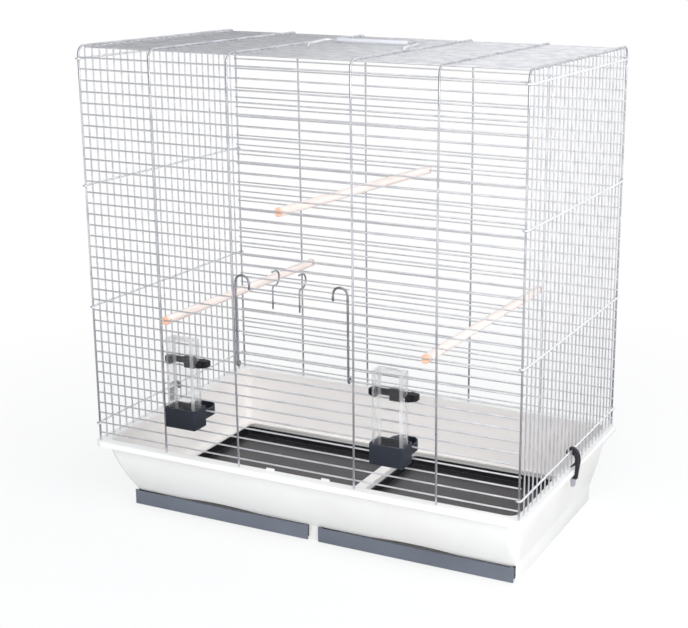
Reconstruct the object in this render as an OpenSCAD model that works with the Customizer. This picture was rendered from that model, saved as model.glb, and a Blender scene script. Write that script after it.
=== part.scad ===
// Canary breeding cage: a welded wire body on a moulded base tray with two drawers.
// Millimetres. X runs to the right, Y to the back and Z up, and the tray stands on z = 0.

/* [Wire body] */
// Width of the wire body over its side panels
body_w = 530; // [490:1:580]
// Spacing of the bars
bar_pitch = 12.5; // [12:0.1:13.5]
// Upright bars in each side panel, with the two posts
side_bars = 26; // [24:2:30]
// Cross bars in the front and back panels
front_rows = 36; // [34:1:42]
// Thickness of the bars
bar_d = 1.8; // [1.5:0.1:2.1]
// Thickness of the long frame wires
post_d = 2.4; // [2:0.1:2.8]
// Depth that welded wires sink into each other
weld = 0.2; // [0.1:0.05:0.3]
// Radius of the turn from the front onto the roof
bend_r = 10; // [6:0.5:11.5]
// Width of the middle bay that holds the door
bay_w = 146; // [138:1:154]
// Distance from the middle bay to the outer long wires
outer_bay_w = 98; // [95:1:105]
// Height of the lowest cross bar over the rim
first_bar_h = 9; // [7:0.5:12]
// Stiffening wires in each side panel
stiffeners = 4; // [3:1:5]
// Space between a hooked wire end and the wire in it
hook_gap = 0.15; // [0.1:0.05:0.3]

/* [Front door] */
// Cross bar that the door turns on, counted from the lowest
door_row = 9; // [9:1:10]
// Cross bars in the door
door_bars = 8; // [7:1:9]
// Thickness of the cane shaped side wires
cane_d = 2.5; // [2.3:0.1:3.2]
// Width of the turned-over cane tops
cane_w = 17.5; // [14:0.5:22]
// Length of the short cane legs under the turn
cane_leg = 6.5; // [4:0.5:9]
// Space from the left long wire to the left cane
cane_gap_left = 3; // [3:0.1:5]
// Space from the right long wire to the right cane
cane_gap_right = 5; // [3:0.1:7]
// Play of the canes round their hinge wire
hinge_play = 0.3; // [0.2:0.05:0.4]
// Place of the left catch, from the middle
catch_left_x = -23; // [-30:1:-16]
// Place of the right catch, from the middle
catch_right_x = 10; // [4:1:18]
// Space between a catch and the door bars behind it
catch_gap = 0.1; // [0.1:0.05:0.3]
// Thickness of the catch wire
catch_d = 1.8; // [1.6:0.1:2.2]

/* [Base tray] */
// Height of the tray
tray_h = 92; // [88:1:98]
// Reach of the rim outside the wire body
rim_reach = 6.5; // [6:0.1:7]
// Height of the rim's edge
rim_h = 6.5; // [6:0.1:7]
// Width of the ledge from the rim's edge to the wall
rim_ledge = 10; // [9:0.5:11]
// Draw-in of the side walls at the foot
side_inset = 16.5; // [14:0.5:20]
// Draw-in of the front wall at the foot
front_inset = 39.2; // [36:0.1:42]
// Draw-in of the back wall at the foot
back_inset = 21; // [19:0.5:26]
// Curve of the walls, 1 for straight
wall_curve = 1.4; // [1.2:0.1:1.6]
// Thickness of the walls
wall_t = 2.4; // [2:0.1:2.6]
// Width of the bar between the floor openings
divider_w = 14; // [13:1:24]
// Free strip of floor along the side walls
floor_strip = 7.4; // [5:0.1:10]
// Free strip of floor along the back wall
floor_back = 2; // [1:0.1:6]
// Width of the locating tabs on the rim
tab_w = 10; // [8:1:14]
// Distance of the locating tabs from the middle
tab_x = 35; // [30:1:50]
// Width of the foot between the drawers
foot_w = 13.4; // [11:0.1:14]

/* [Drawers] */
// Height of the drawer fronts over the ground
drawer_h = 17.5; // [16:0.5:20]
// Thickness of the drawer fronts
drawer_front_t = 2.2; // [1.8:0.1:2.6]
// Thickness of the drawer walls
drawer_wall_t = 1.6; // [1.2:0.1:2]
// Play of each drawer beside its runners
drawer_play = 0.6; // [0.4:0.1:0.8]
// Width of the finger scoop over each drawer
scoop_w = 107; // [90:1:130]
// Height of the finger scoop
scoop_h = 3.7; // [2.5:0.1:3.8]

/* [Feeders] */
// Place of the left feeder, from the middle
feeder_left_x = -134.5; // [-138:0.5:-125]
// Place of the right feeder, from the middle
feeder_right_x = 123; // [110:0.5:134]
// Width of the feeder trough
trough_w = 40; // [37:0.5:42]
// Depth of the feeder trough in front of the wires
trough_l = 23.5; // [23:0.5:26]
// Height of the feeder trough
trough_h = 23; // [20:0.5:25]
// Thickness of the trough's walls
trough_t = 1.3; // [1.1:0.1:1.5]
// Reach of the cup inside the cage
cup_reach = 34; // [28:1:38]
// Width of the cup
cup_w = 32; // [28:1:34]
// Depth of the clear tube
tube_l = 18.5; // [17:0.5:18.5]
// Height of the clear tube
tube_h = 101; // [96:1:108]
// Thickness of the tube's wall
tube_t = 1.3; // [1:0.1:1.6]
// Play of the tube in the trough
tube_play = 0.35; // [0.3:0.05:0.4]

/* [Perches] */
// Thickness of the perches
perch_d = 10; // [9:0.5:10.5]
// Cross bar that carries the middle perch
perch_high_row = 23; // [22:1:26]
// Cross bar that carries the side perches
perch_low_row = 12; // [12:1:15]
// Distance of the side perches from the middle
perch_x = 163.5; // [160:0.5:163.5]

/* [Side clips] */
// Width of the side clips along the panel
clip_w = 9; // [7:0.5:9.5]
// Play of the clips round their wire
clip_play = 0.25; // [0.2:0.05:0.35]

/* [Carry handle] */
// Length of the handle between its legs
handle_w = 120; // [100:1:124]
// Reach of the handle's legs
handle_l = 40; // [36:1:46]
// Thickness of the handle's wire
handle_d = 3; // [2.6:0.1:3.2]
// Thickness of the grip on the handle
grip_d = 6.5; // [5.5:0.1:6.6]
// Length of the grip
grip_l = 90; // [70:1:94]
// Slope of the resting handle, in degrees
handle_tilt = 3; // [3:0.5:6]

/* [Hidden] */
$fn = 24;
body_d = (side_bars - 1) * bar_pitch;
front_y = -body_d / 2;
back_y = body_d / 2;
side_x = body_w / 2;
// weld offsets: side wires to their stiffeners, and long wires to cross bars
weld_off = (bar_d + post_d) / 2 - weld;
row_y = front_y + weld_off;
hook_r = post_d + hook_gap;
post_x = side_x + weld_off - hook_r;
inner_x = bay_w / 2;
outer_x = bay_w / 2 + outer_bay_w;
long_x = [-post_x, -outer_x, -inner_x, inner_x, outer_x, post_x];
row0_z = tray_h + first_bar_h;
top_row = front_rows - 1;
roof_z = row0_z + top_row * bar_pitch + bar_pitch;
cross_z = roof_z - weld_off;
rest_gap = 0.3;
foot_z = tray_h + rest_gap;
stiff_low = 1;
stiff_high = top_row - 0.12;
// tray levels
open_z = drawer_h + 0.5;
under_z = open_z + 1.6;
floor_z = open_z + 4;
lip_z = tray_h - rim_h;
top_in = rim_ledge - rim_reach;
foot_x = side_x - side_inset;
foot_y0 = front_y + front_inset;
foot_y1 = back_y - back_inset;
wall_steps = 9;
corner_n = 7;
// drawer places, for the right one
panel_gap = 1.35;
drawer_y0 = foot_y0 - panel_gap - drawer_front_t;
drawer_x0 = foot_w / 2 + 0.3;
drawer_x1 = foot_x - wall_t - 0.3;
drawer_y1 = foot_y1 - wall_t - 0.8;
ledge_z = 2.8;
drawer_z0 = ledge_z + 0.3;
// feeder levels
cup_row = 3;
grip_row = 8;
trough_z0 = row0_z + cup_row * bar_pitch - 4;
feeder_y1 = row_y - bar_d / 2 - 0.35;
feeder_y0 = feeder_y1 - trough_l;
cup_z0 = row0_z + cup_row * bar_pitch + bar_d / 2 + rest_gap;
cup_z1 = row0_z + (cup_row + 1) * bar_pitch - bar_d / 2 - rest_gap;
tube_w = trough_w - 2 * trough_t - 2 * tube_play;
tube_y0 = feeder_y0 + trough_t + tube_play;
tube_z0 = trough_z0 + trough_t + rest_gap;
clip_y0 = feeder_y1 - 3.1;
// door places
cane_r = bar_d / 2 + cane_d / 2 + hinge_play;
cane_y = row_y - cane_r;
door_bar_y = cane_y + (bar_d + cane_d) / 2 - weld;
hinge_z = row0_z + door_row * bar_pitch;
door_top = door_row + door_bars;
cane_left_x = -inner_x + cane_gap_left;
cane_right_x = inner_x - cane_gap_right;
cane_top_z = row0_z + door_top * bar_pitch + 1.6;
catch_y = door_bar_y - (bar_d + catch_d) / 2 - catch_gap;
// handle places
handle_r = bar_d / 2 + handle_d / 2 + hinge_play;
handle_y = front_y + (side_bars / 2 - 1) * bar_pitch;

cream = [0.93, 0.92, 0.9];
slate = [0.38, 0.43, 0.47];
steel = [0.72, 0.73, 0.76];
charcoal = [0.12, 0.13, 0.15];
clear = [0.88, 0.9, 0.93, 0.45];
beech = [0.93, 0.79, 0.66];
white = [0.9, 0.9, 0.88];

// Height of a cross bar, counted from the lowest
function row_z(i) = row0_z + i * bar_pitch;

// Rounded rectangle at height z, as points that run anticlockwise
function ring(hx, y0, y1, r, z) = [
    for (c = [[hx - r, y0 + r, -90], [hx - r, y1 - r, 0], [r - hx, y1 - r, 90], [r - hx, y0 + r, 180]])
        for (i = [0 : corner_n])
            let (a = c[2] + i * 90 / corner_n)
                [c[0] + r * cos(a), c[1] + r * sin(a), z]
];

// Share of the draw-in that a wall has at height z
function draw_in(z) = pow(1 - min(1, max(0, (z - open_z) / (lip_z - open_z))), wall_curve);

// Outline of the tray's wall at height z, t inside its outer face
function wall_ring(z, t) = ring(
    side_x - top_in - draw_in(z) * (side_inset - top_in) - t,
    front_y + top_in + draw_in(z) * (front_inset - top_in) + t,
    back_y - top_in - draw_in(z) * (back_inset - top_in) - t,
    14 - 4 * draw_in(z) - t,
    z
);

// Outline of the rim at height z, t inside its edge
function rim_ring(z, t) = ring(
    side_x + rim_reach - t,
    front_y - rim_reach + t,
    back_y + rim_reach - t,
    13 - t,
    z
);

// Closed solid through rings of equal length, lowest first
module loft(rings) {
    n = len(rings[0]);
    m = len(rings);
    low = [for (i = [0 : n - 1]) i];
    high = [for (i = [n - 1 : -1 : 0]) (m - 1) * n + i];
    side_a = [for (j = [0 : m - 2]) for (i = [0 : n - 1]) [j * n + i, (j + 1) * n + i, (j + 1) * n + (i + 1) % n]];
    side_b = [for (j = [0 : m - 2]) for (i = [0 : n - 1]) [j * n + i, (j + 1) * n + (i + 1) % n, j * n + (i + 1) % n]];
    polyhedron(points = [for (q = rings) each q], faces = concat([low], side_a, side_b, [high]));
}

// Block with round upright edges
module slab(x0, x1, y0, y1, z0, z1, r) {
    union() {
        translate([x0 + r, y0, z0]) cube([x1 - x0 - 2 * r, y1 - y0, z1 - z0]);
        translate([x0, y0 + r, z0]) cube([x1 - x0, y1 - y0 - 2 * r, z1 - z0]);
        for (x = [x0 + r, x1 - r])
            for (y = [y0 + r, y1 - r])
                translate([x, y, z0]) cylinder(h = z1 - z0, r = r);
    }
}

// Plain block from corner to corner
module block(x0, x1, y0, y1, z0, z1) {
    translate([x0, y0, z0]) cube([x1 - x0, y1 - y0, z1 - z0]);
}

// Straight round wire from a to b
module bar(a, b, d) {
    v = b - a;
    len_v = norm(v);
    translate(a)
        rotate([0, acos(v[2] / len_v), atan2(v[1], v[0])])
            cylinder(h = len_v, d = d);
}

// Wire along X
module bar_x(x0, x1, y, z, d) {
    translate([x0, y, z]) rotate([0, 90, 0]) cylinder(h = x1 - x0, d = d);
}

// Wire along Y
module bar_y(x, y0, y1, z, d) {
    translate([x, y0, z]) rotate([-90, 0, 0]) cylinder(h = y1 - y0, d = d);
}

// Part of a wire ring of radius r round Z, from angle a over sweep s
module turn_z(r, d, a, s) {
    rotate([0, 0, a])
        rotate_extrude(angle = s, $fn = 48)
            translate([r, 0]) circle(d = d, $fn = 24);
}

// Part of a wire ring round X, where angle 0 points to +Y and 90 up
module turn_x(r, d, a, s) {
    rotate([90, 0, 90]) turn_z(r, d, a, s);
}

// Part of a wire ring round Y, where angle 0 points to +X and 90 up
module turn_y(r, d, a, s) {
    rotate([90, 0, 0]) turn_z(r, d, a, s);
}

// Base tray: rim, curved walls, floor with two openings, foot and runners
module base_tray() {
    color(cream)
    union() {
        difference() {
            union() {
                difference() {
                    loft([rim_ring(lip_z, 0), rim_ring(tray_h - 0.8, 0), rim_ring(tray_h, 0.8)]);
                    loft([rim_ring(lip_z - 1, wall_t), rim_ring(tray_h - wall_t, wall_t)]);
                }
                loft([
                    wall_ring(0, 0),
                    for (i = [0 : wall_steps]) wall_ring(open_z + (lip_z - open_z) * i / wall_steps, 0),
                    wall_ring(tray_h - 0.6, 0)
                ]);
            }
            loft([
                for (i = [0 : wall_steps]) wall_ring(floor_z + (lip_z - floor_z) * i / wall_steps, wall_t),
                wall_ring(tray_h + 1, wall_t)
            ]);
            loft([wall_ring(-1, wall_t), wall_ring(under_z, wall_t)]);
            block(wall_t - foot_x, foot_x - wall_t, foot_y0 - 9, foot_y0 + 20, -1, open_z);
            for (s = [-1, 1]) {
                floor_opening(s);
                finger_scoop(s);
            }
        }
        centre_foot();
        for (s = [0, 1])
            mirror([s, 0, 0]) {
                block(foot_x - wall_t - 3.4, foot_x - wall_t + 0.2, foot_y0 + 8, foot_y1 - 12, 1.2, ledge_z);
                block(foot_w / 2 - 0.2, foot_w / 2 + 3, foot_y0 + 8, foot_y1 - 12, 1.2, ledge_z);
            }
        for (x = [-tab_x, tab_x]) {
            y_in = top_in + wall_t;
            block(x - tab_w / 2, x + tab_w / 2, front_y + y_in - 1.7, front_y + y_in, tray_h - 1, tray_h + 2.4);
            block(x - tab_w / 2, x + tab_w / 2, back_y - y_in, back_y - y_in + 1.7, tray_h - 1, tray_h + 2.4);
        }
    }
}

// Opening in the tray's floor over one drawer
module floor_opening(s) {
    x0 = divider_w / 2;
    x1 = foot_x - wall_t - floor_strip;
    mirror([s < 0 ? 1 : 0, 0, 0])
        slab(x0, x1, foot_y0 + wall_t + 6.6, foot_y1 - wall_t - floor_back, open_z - 1, floor_z + 1, 5);
}

// Shallow arch in the front wall's lower edge over one drawer
module finger_scoop(s) {
    r = (scoop_w * scoop_w / 4 + scoop_h * scoop_h) / (2 * scoop_h);
    x = s * (drawer_x0 + drawer_x1) / 2;
    translate([x, foot_y0 - 6, open_z + scoop_h - r])
        rotate([-90, 0, 0])
            cylinder(h = 6 + wall_t, r = r, $fn = 96);
}

// Foot between the drawers, a channel with cross webs
module centre_foot() {
    y1 = foot_y1 - 1;
    top = under_z + 0.4;
    block(-foot_w / 2, foot_w / 2, foot_y0, foot_y0 + 2.4, 0, top);
    for (x = [-foot_w / 2, foot_w / 2 - 2])
        block(x, x + 2, foot_y0, y1, 0, top);
    for (y = [-90, -45, 45, 90])
        block(-foot_w / 2, foot_w / 2, y - 1, y + 1, 0, top);
    block(-foot_w / 2, foot_w / 2, -9, 9, 0, top);
}

// Right drawer: front with two ears, and an open box behind it
module drawer() {
    box_x0 = foot_w / 2 + drawer_play;
    box_x1 = foot_x - wall_t - drawer_play;
    box_top = drawer_h - 2;
    color(slate)
    union() {
        difference() {
            union() {
                block(drawer_x0, drawer_x1, drawer_y0, drawer_y0 + drawer_front_t, 0.8, drawer_h);
                for (x = [drawer_x0, drawer_x1 - 4])
                    block(x, x + 4, drawer_y0, drawer_y0 + drawer_front_t, drawer_h - 1, drawer_h + 1.2);
                slab(box_x0, box_x1, drawer_y0 + drawer_front_t - 0.5, drawer_y1, drawer_z0, box_top, 6);
            }
            slab(
                box_x0 + drawer_wall_t, box_x1 - drawer_wall_t,
                drawer_y0 + drawer_front_t, drawer_y1 - drawer_wall_t,
                drawer_z0 + drawer_wall_t, drawer_h + 3, 5
            );
        }
    }
}

module drawer_right() {
    drawer();
}

module drawer_left() {
    mirror([1, 0, 0]) drawer();
}

// Cross bars of the front panel, open where the door is
module front_bars() {
    for (i = [0 : top_row])
        if (i > door_row && i <= door_top)
            for (s = [0, 1])
                mirror([s, 0, 0]) bar_x(inner_x - post_d / 2 + 0.3, post_x + post_d / 2 - 0.15, row_y, row_z(i), bar_d);
        else
            bar_x(-post_x - post_d / 2 + 0.15, post_x + post_d / 2 - 0.15, row_y, row_z(i), bar_d);
}

// Front panel: cross bars behind six long wires
module front_grille() {
    color(steel)
    union() {
        front_bars();
        for (x = long_x)
            bar([x, front_y, foot_z], [x, front_y, roof_z - bend_r], post_d);
    }
}

// Back panel: the same grid without a door
module back_grille() {
    color(steel)
    union() {
        for (i = [0 : top_row])
            bar_x(-post_x - post_d / 2 + 0.15, post_x + post_d / 2 - 0.15, -row_y, row_z(i), bar_d);
        for (x = long_x)
            bar([x, back_y, foot_z], [x, back_y, roof_z - bend_r], post_d);
    }
}

// Roof: the six long wires turn over it, with cross bars under them
module roof_grille() {
    color(steel)
    union() {
        for (x = long_x) {
            bar_y(x, front_y + bend_r, back_y - bend_r, roof_z, post_d);
            translate([x, front_y + bend_r, roof_z - bend_r]) turn_x(bend_r, post_d, 90, 90);
            translate([x, back_y - bend_r, roof_z - bend_r]) turn_x(bend_r, post_d, 0, 90);
        }
        for (k = [1 : side_bars - 2])
            bar_x(-post_x - 0.6, post_x + 0.6, front_y + k * bar_pitch, cross_z, bar_d);
    }
}

// Right side panel: upright bars inside four wires that hook round the posts
module side_grille() {
    color(steel)
    union() {
        for (k = [1 : side_bars - 2])
            bar([side_x, front_y + k * bar_pitch, foot_z],
                [side_x, front_y + k * bar_pitch, cross_z - bar_d / 2 - rest_gap], bar_d);
        for (j = [0 : stiffeners - 1]) {
            z = row_z(stiff_low + (stiff_high - stiff_low) * j / (stiffeners - 1));
            bar_y(side_x + weld_off, front_y, back_y, z, post_d);
            for (s = [0, 1])
                mirror([0, s, 0])
                    translate([post_x, back_y, z]) turn_z(hook_r, post_d, 0, 150);
        }
    }
}

module right_grille() {
    side_grille();
}

module left_grille() {
    mirror([1, 0, 0]) side_grille();
}

// One cane of the door: curl round the hinge wire, long leg, turned top, short leg
module cane(x, s) {
    z = cane_top_z - cane_w / 2;
    bar([x, cane_y, hinge_z], [x, cane_y, z], cane_d);
    translate([x, row_y, hinge_z]) turn_x(cane_r, cane_d, 180, 235);
    translate([x + s * cane_w / 2, cane_y, z]) turn_y(cane_w / 2, cane_d, 0, 180);
    bar([x + s * cane_w, cane_y, z - cane_leg], [x + s * cane_w, cane_y, z], cane_d);
}

// Front door: cross bars on two canes
module front_door() {
    color(steel)
    union() {
        cane(cane_left_x, 1);
        cane(cane_right_x, -1);
        for (i = [1 : door_bars])
            bar_x(cane_left_x - 0.9, cane_right_x + 0.9, door_bar_y, row_z(door_row + i), bar_d);
    }
}

// Catch on the door: a leg over two bars, and a curl round the bar above them
module door_catch(x) {
    low = row_z(door_top) - 6.3;
    high = row_z(door_top) + 9.4;
    r = (high - low) / 2;
    turn = 4;
    y_mid = catch_y + turn + 2;
    color(steel)
    union() {
        bar([x, catch_y, low - turn - 21], [x, catch_y, low - turn], catch_d);
        translate([x, catch_y + turn, low - turn]) turn_x(turn, catch_d, 90, 90);
        bar_y(x, catch_y + turn, y_mid, low, catch_d);
        translate([x, y_mid, low + r]) turn_x(r, catch_d, -90, 180);
        bar_y(x, catch_y - 0.6, y_mid, high, catch_d);
    }
}

module door_catch_left() {
    door_catch(catch_left_x);
}

module door_catch_right() {
    door_catch(catch_right_x);
}

// Perch: a dowel whose slotted ends sit on a cross bar at the front and the back
module perch(x, row) {
    y_end = -row_y + 4;
    z = row_z(row);
    color(beech)
    difference() {
        translate([x, 0, z])
            rotate([90, 0, 0])
                cylinder(h = 2 * y_end, d = perch_d, center = true, $fn = 48);
        for (s = [-1, 1])
            translate([x, s * (y_end - 2.2), z])
                cube([perch_d + 2, 8.4, bar_d + 0.5], center = true);
    }
}

module perch_left() {
    perch(-perch_x, perch_low_row);
}

module perch_middle() {
    perch(0, perch_high_row);
}

module perch_right() {
    perch(perch_x, perch_low_row);
}

// Feeder trough outside the front, with a cup that reaches in between two bars
module feeder_trough(x) {
    cup_t = 1.3;
    r = cup_w / 2;
    cup_y = feeder_y1 + cup_reach - r;
    color(charcoal)
    translate([x, 0, 0])
    difference() {
        union() {
            slab(-trough_w / 2, trough_w / 2, feeder_y0, feeder_y1, trough_z0, trough_z0 + trough_h, 2);
            block(-r, r, feeder_y1 - 1, cup_y, cup_z0, cup_z1);
            translate([0, cup_y, cup_z0]) cylinder(h = cup_z1 - cup_z0, r = r, $fn = 48);
        }
        slab(
            trough_t - trough_w / 2, trough_w / 2 - trough_t, feeder_y0 + trough_t, feeder_y1 - trough_t,
            trough_z0 + trough_t, trough_z0 + trough_h + 1, 1.2
        );
        block(cup_t - r, r - cup_t, feeder_y1 - trough_t - 1, cup_y, cup_z0 + cup_t, cup_z1 + 0.1);
        translate([0, cup_y, cup_z0 + cup_t]) cylinder(h = cup_z1 - cup_z0, r = r - cup_t, $fn = 48);
    }
}

module feeder_trough_left() {
    feeder_trough(feeder_left_x);
}

module feeder_trough_right() {
    feeder_trough(feeder_right_x);
}

// Clear tube: closed on top, open below, with a way out to the cup
module feeder_tube(x) {
    color(clear)
    translate([x, 0, 0])
    difference() {
        slab(-tube_w / 2, tube_w / 2, tube_y0, tube_y0 + tube_l, tube_z0, tube_z0 + tube_h, 5);
        slab(
            tube_t - tube_w / 2, tube_w / 2 - tube_t, tube_y0 + tube_t, tube_y0 + tube_l - tube_t,
            tube_z0 - 1, tube_z0 + tube_h - tube_t, 3.7
        );
        block(-11, 11, tube_y0 + tube_l - tube_t - 1, tube_y0 + tube_l + 1, tube_z0 - 1, tube_z0 + 16);
    }
}

module feeder_tube_left() {
    feeder_tube(feeder_left_x);
}

module feeder_tube_right() {
    feeder_tube(feeder_right_x);
}

// Clip behind the tube: two end lugs hold it, and a block grips two cross bars
module feeder_clip(x) {
    z = row_z(grip_row + 0.5);
    half = (bar_pitch - bar_d) / 2 - rest_gap;
    y_back = row_y + bar_d / 2 + rest_gap;
    color(charcoal)
    translate([x, 0, 0])
    union() {
        block(-tube_w / 2 - 9.6, tube_w / 2 + 9.6, clip_y0, feeder_y1, z - 2, z + 5);
        for (s = [0, 1])
            mirror([s, 0, 0]) {
                block(tube_w / 2 + 0.4, tube_w / 2 + 9.8, clip_y0 - 9, feeder_y1, z - 3, z + 5.8);
                block(tube_w / 2 + 0.4, tube_w / 2 + 5, clip_y0 - 13, clip_y0 - 8, z - 1.6, z + 4.4);
            }
        block(-6, 8, clip_y0, feeder_y1, z - 7.2, z + 6);
        block(-5, 7, feeder_y1 - 1, y_back + 1, z - half, z + half);
        block(-5, 7, y_back, y_back + 1.8, z - half - 1.6, z + half + 1.6);
    }
}

module feeder_clip_left() {
    feeder_clip(feeder_left_x);
}

module feeder_clip_right() {
    feeder_clip(feeder_right_x);
}

// Right side clip: a head hooked over the lowest stiffening wire, and a bowed leg
// whose catch grips under the rim
module side_clip() {
    lip_x = rim_reach - weld_off;
    lip_top = tray_h - row_z(stiff_low);
    low = lip_top - rim_h;
    color(charcoal)
    translate([side_x + weld_off, clip_w / 2, row_z(stiff_low)])
    rotate([90, 0, 0])
    difference() {
        union() {
            linear_extrude(clip_w)
                polygon([
                    [-2.6, 3.4], [-0.8, 4.3], [1.6, 4.2], [4.4, 3], [7.4, 0.2], [9.4, -4], [10.2, -8.5],
                    [10, -14], [9.2, -20], [8.4, -25], [7.6, low - 4.6], [5.6, low - 6.2],
                    [5, low - 13.4], [3.6, low - 14.6], [1.4, low - 14.6], [0.2, low - 13.4], [0, low - 5.6],
                    [-1.2, low - 4.6], [-1.3, low - 1.9], [lip_x + 0.5, low - 0.9], [lip_x + 0.6, lip_top - 0.4],
                    [lip_x + 0.5, -16.5], [-0.4, lip_top + 1.3], [-0.4, lip_top + 2.9], [4.6, -12.6],
                    [4.6, -8.6], [3.6, -5.4], [1.4, -4.4], [-1.4, -4.4], [-3.4, -2.8], [-4.4, -4.2],
                    [-6, -4.4], [-6.4, -2.6], [-5.4, 0.4]
                ]);
        }
        translate([0, 0, -1]) cylinder(h = clip_w + 2, r = post_d / 2 + clip_play);
        translate([-1, -6, -1]) cube([2, 5, clip_w + 2]);
        translate([7.1, -18, -1]) cube([1.4, 9.5, clip_w + 2]);
    }
}

module side_clip_right() {
    side_clip();
}

module side_clip_left() {
    mirror([1, 0, 0]) side_clip();
}

// Carry handle: a wire bow whose eyes turn on a cross bar of the roof
module carry_handle() {
    x = handle_w / 2;
    r = 8;
    color(steel)
    translate([0, handle_y, cross_z])
    rotate([handle_tilt, 0, 0])
    union() {
        for (s = [0, 1])
            mirror([s, 0, 0]) {
                translate([x, 0, 0]) turn_x(handle_r, handle_d, 90, 300);
                bar_y(x, 0, handle_l - r, handle_r, handle_d);
                translate([x - r, handle_l - r, handle_r]) turn_z(r, handle_d, 0, 90);
            }
        bar_x(r - x, x - r, handle_l, handle_r, handle_d);
    }
}

// Sleeve on the handle
module handle_grip() {
    color(white)
    translate([-grip_l / 2, handle_y, cross_z])
    rotate([handle_tilt, 0, 0])
    translate([0, handle_l, handle_r])
    rotate([0, 90, 0])
    difference() {
        cylinder(h = grip_l, d = grip_d);
        translate([0, 0, -1]) cylinder(h = grip_l + 2, d = handle_d + 0.3);
    }
}

base_tray();
drawer_left();
drawer_right();
front_grille();
back_grille();
roof_grille();
left_grille();
right_grille();
front_door();
door_catch_left();
door_catch_right();
perch_left();
perch_middle();
perch_right();
feeder_trough_left();
feeder_trough_right();
feeder_tube_left();
feeder_tube_right();
feeder_clip_left();
feeder_clip_right();
side_clip_left();
side_clip_right();
carry_handle();
handle_grip();
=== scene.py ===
"""Dresses the canary breeding cage for a studio picture.

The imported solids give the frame. Every wire panel is rebuilt here from rows of
bars, the moulded pieces get rounded edges and procedural finishes, and the camera
stands where the photograph was taken from.
"""

import logging
import math
from dataclasses import dataclass
from enum import Enum
from functools import reduce
from typing import Callable

import bmesh
import bpy
from mathutils import Matrix, Vector


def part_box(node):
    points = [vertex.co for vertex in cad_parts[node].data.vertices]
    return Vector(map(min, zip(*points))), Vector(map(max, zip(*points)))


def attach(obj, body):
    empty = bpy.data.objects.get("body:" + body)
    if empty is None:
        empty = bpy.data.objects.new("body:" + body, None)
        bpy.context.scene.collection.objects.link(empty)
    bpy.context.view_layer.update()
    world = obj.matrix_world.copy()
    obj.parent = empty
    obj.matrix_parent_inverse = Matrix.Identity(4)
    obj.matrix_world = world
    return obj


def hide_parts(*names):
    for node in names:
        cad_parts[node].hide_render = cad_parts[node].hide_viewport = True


logging.basicConfig(level=logging.INFO, format="%(name)s: %(message)s")
LOG = logging.getLogger("cage")

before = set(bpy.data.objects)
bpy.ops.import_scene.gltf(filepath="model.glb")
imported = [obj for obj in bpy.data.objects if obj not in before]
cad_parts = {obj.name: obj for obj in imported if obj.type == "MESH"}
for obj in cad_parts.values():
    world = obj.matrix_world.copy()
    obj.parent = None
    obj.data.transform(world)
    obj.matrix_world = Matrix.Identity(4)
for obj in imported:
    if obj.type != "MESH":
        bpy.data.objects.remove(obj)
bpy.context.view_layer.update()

MM = 0.001
Point = tuple[float, float, float]
Socket = bpy.types.NodeSocket
Surface = tuple[Socket, Socket, Socket]
Mask = Callable[["Nodes"], Socket]
Outputs = bpy.types.NodeOutputs
Tree = bpy.types.NodeTree
Material = bpy.types.Material
Mesh = bpy.types.Mesh
Object = bpy.types.Object


# ---- sizes


@dataclass(frozen=True)
class CageSize:
    """Sizes of the wire body, in millimetres, as in the part's source."""

    width: float = 530.0
    pitch: float = 12.5
    side_bars: int = 26
    rows: int = 36
    bar: float = 1.8
    post: float = 2.4
    weld: float = 0.2
    bend: float = 10.0
    inner_x: float = 73.0
    outer_x: float = 171.0
    row0_z: float = 101.0
    foot_z: float = 92.3
    door_row: int = 9
    door_bars: int = 8
    hook_gap: float = 0.15
    rest_gap: float = 0.3
    hinge_play: float = 0.3

    @property
    def back_y(self) -> float:
        """Plane of the back posts; the front posts stand at its negative."""
        return (self.side_bars - 1) * self.pitch / 2

    @property
    def offset(self) -> float:
        """Distance between the axes of two welded wires."""
        return (self.bar + self.post) / 2 - self.weld

    @property
    def row_y(self) -> float:
        """Plane of the cross bars, at the back."""
        return self.back_y - self.offset

    @property
    def hook_r(self) -> float:
        """Radius of a stiffener's end round a corner post."""
        return self.post + self.hook_gap

    @property
    def post_x(self) -> float:
        """Place of the corner posts."""
        return self.width / 2 + self.offset - self.hook_r

    @property
    def row_end(self) -> float:
        """End of the cross bars, just short of a corner post's outer side."""
        return self.post_x + self.post / 2 - self.hook_gap

    @property
    def cut_end(self) -> float:
        """End of the bars beside the door, just short of a post's door side."""
        return self.inner_x - self.post / 2 + self.rest_gap

    @property
    def roof_z(self) -> float:
        """Height of the long wires on the roof."""
        return self.row_z(self.rows)

    @property
    def cross_z(self) -> float:
        """Height of the roof's cross bars."""
        return self.roof_z - self.offset

    @property
    def door_top(self) -> int:
        """Number of the bar at the door's top."""
        return self.door_row + self.door_bars

    @property
    def door_bar_y(self) -> float:
        """Plane of the door's own bars, in front of the front panel's."""
        return -self.row_y - self.hinge_play - self.weld

    @property
    def posts(self) -> tuple[float, ...]:
        """Places of the six long wires."""
        right = (self.inner_x, self.outer_x, self.post_x)
        return tuple(-x for x in reversed(right)) + right

    def row_z(self, row: float) -> float:
        """Height of a cross bar.

        Args:
            row: The bar's number, counted from the lowest.

        Returns:
            Its height in millimetres.
        """
        return self.row0_z + row * self.pitch


SIZE = CageSize()


# ---- finishes


class Slot(Enum):
    """The record's material slots."""

    CREAM = "cream_plastic"
    SLATE = "slate_plastic"
    WIRE = "plated_wire"
    BEECH = "beech"
    CHARCOAL = "charcoal_plastic"
    BLACK = "black_plastic"
    CLEAR = "clear_plastic"
    WHITE = "white_plastic"


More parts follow.
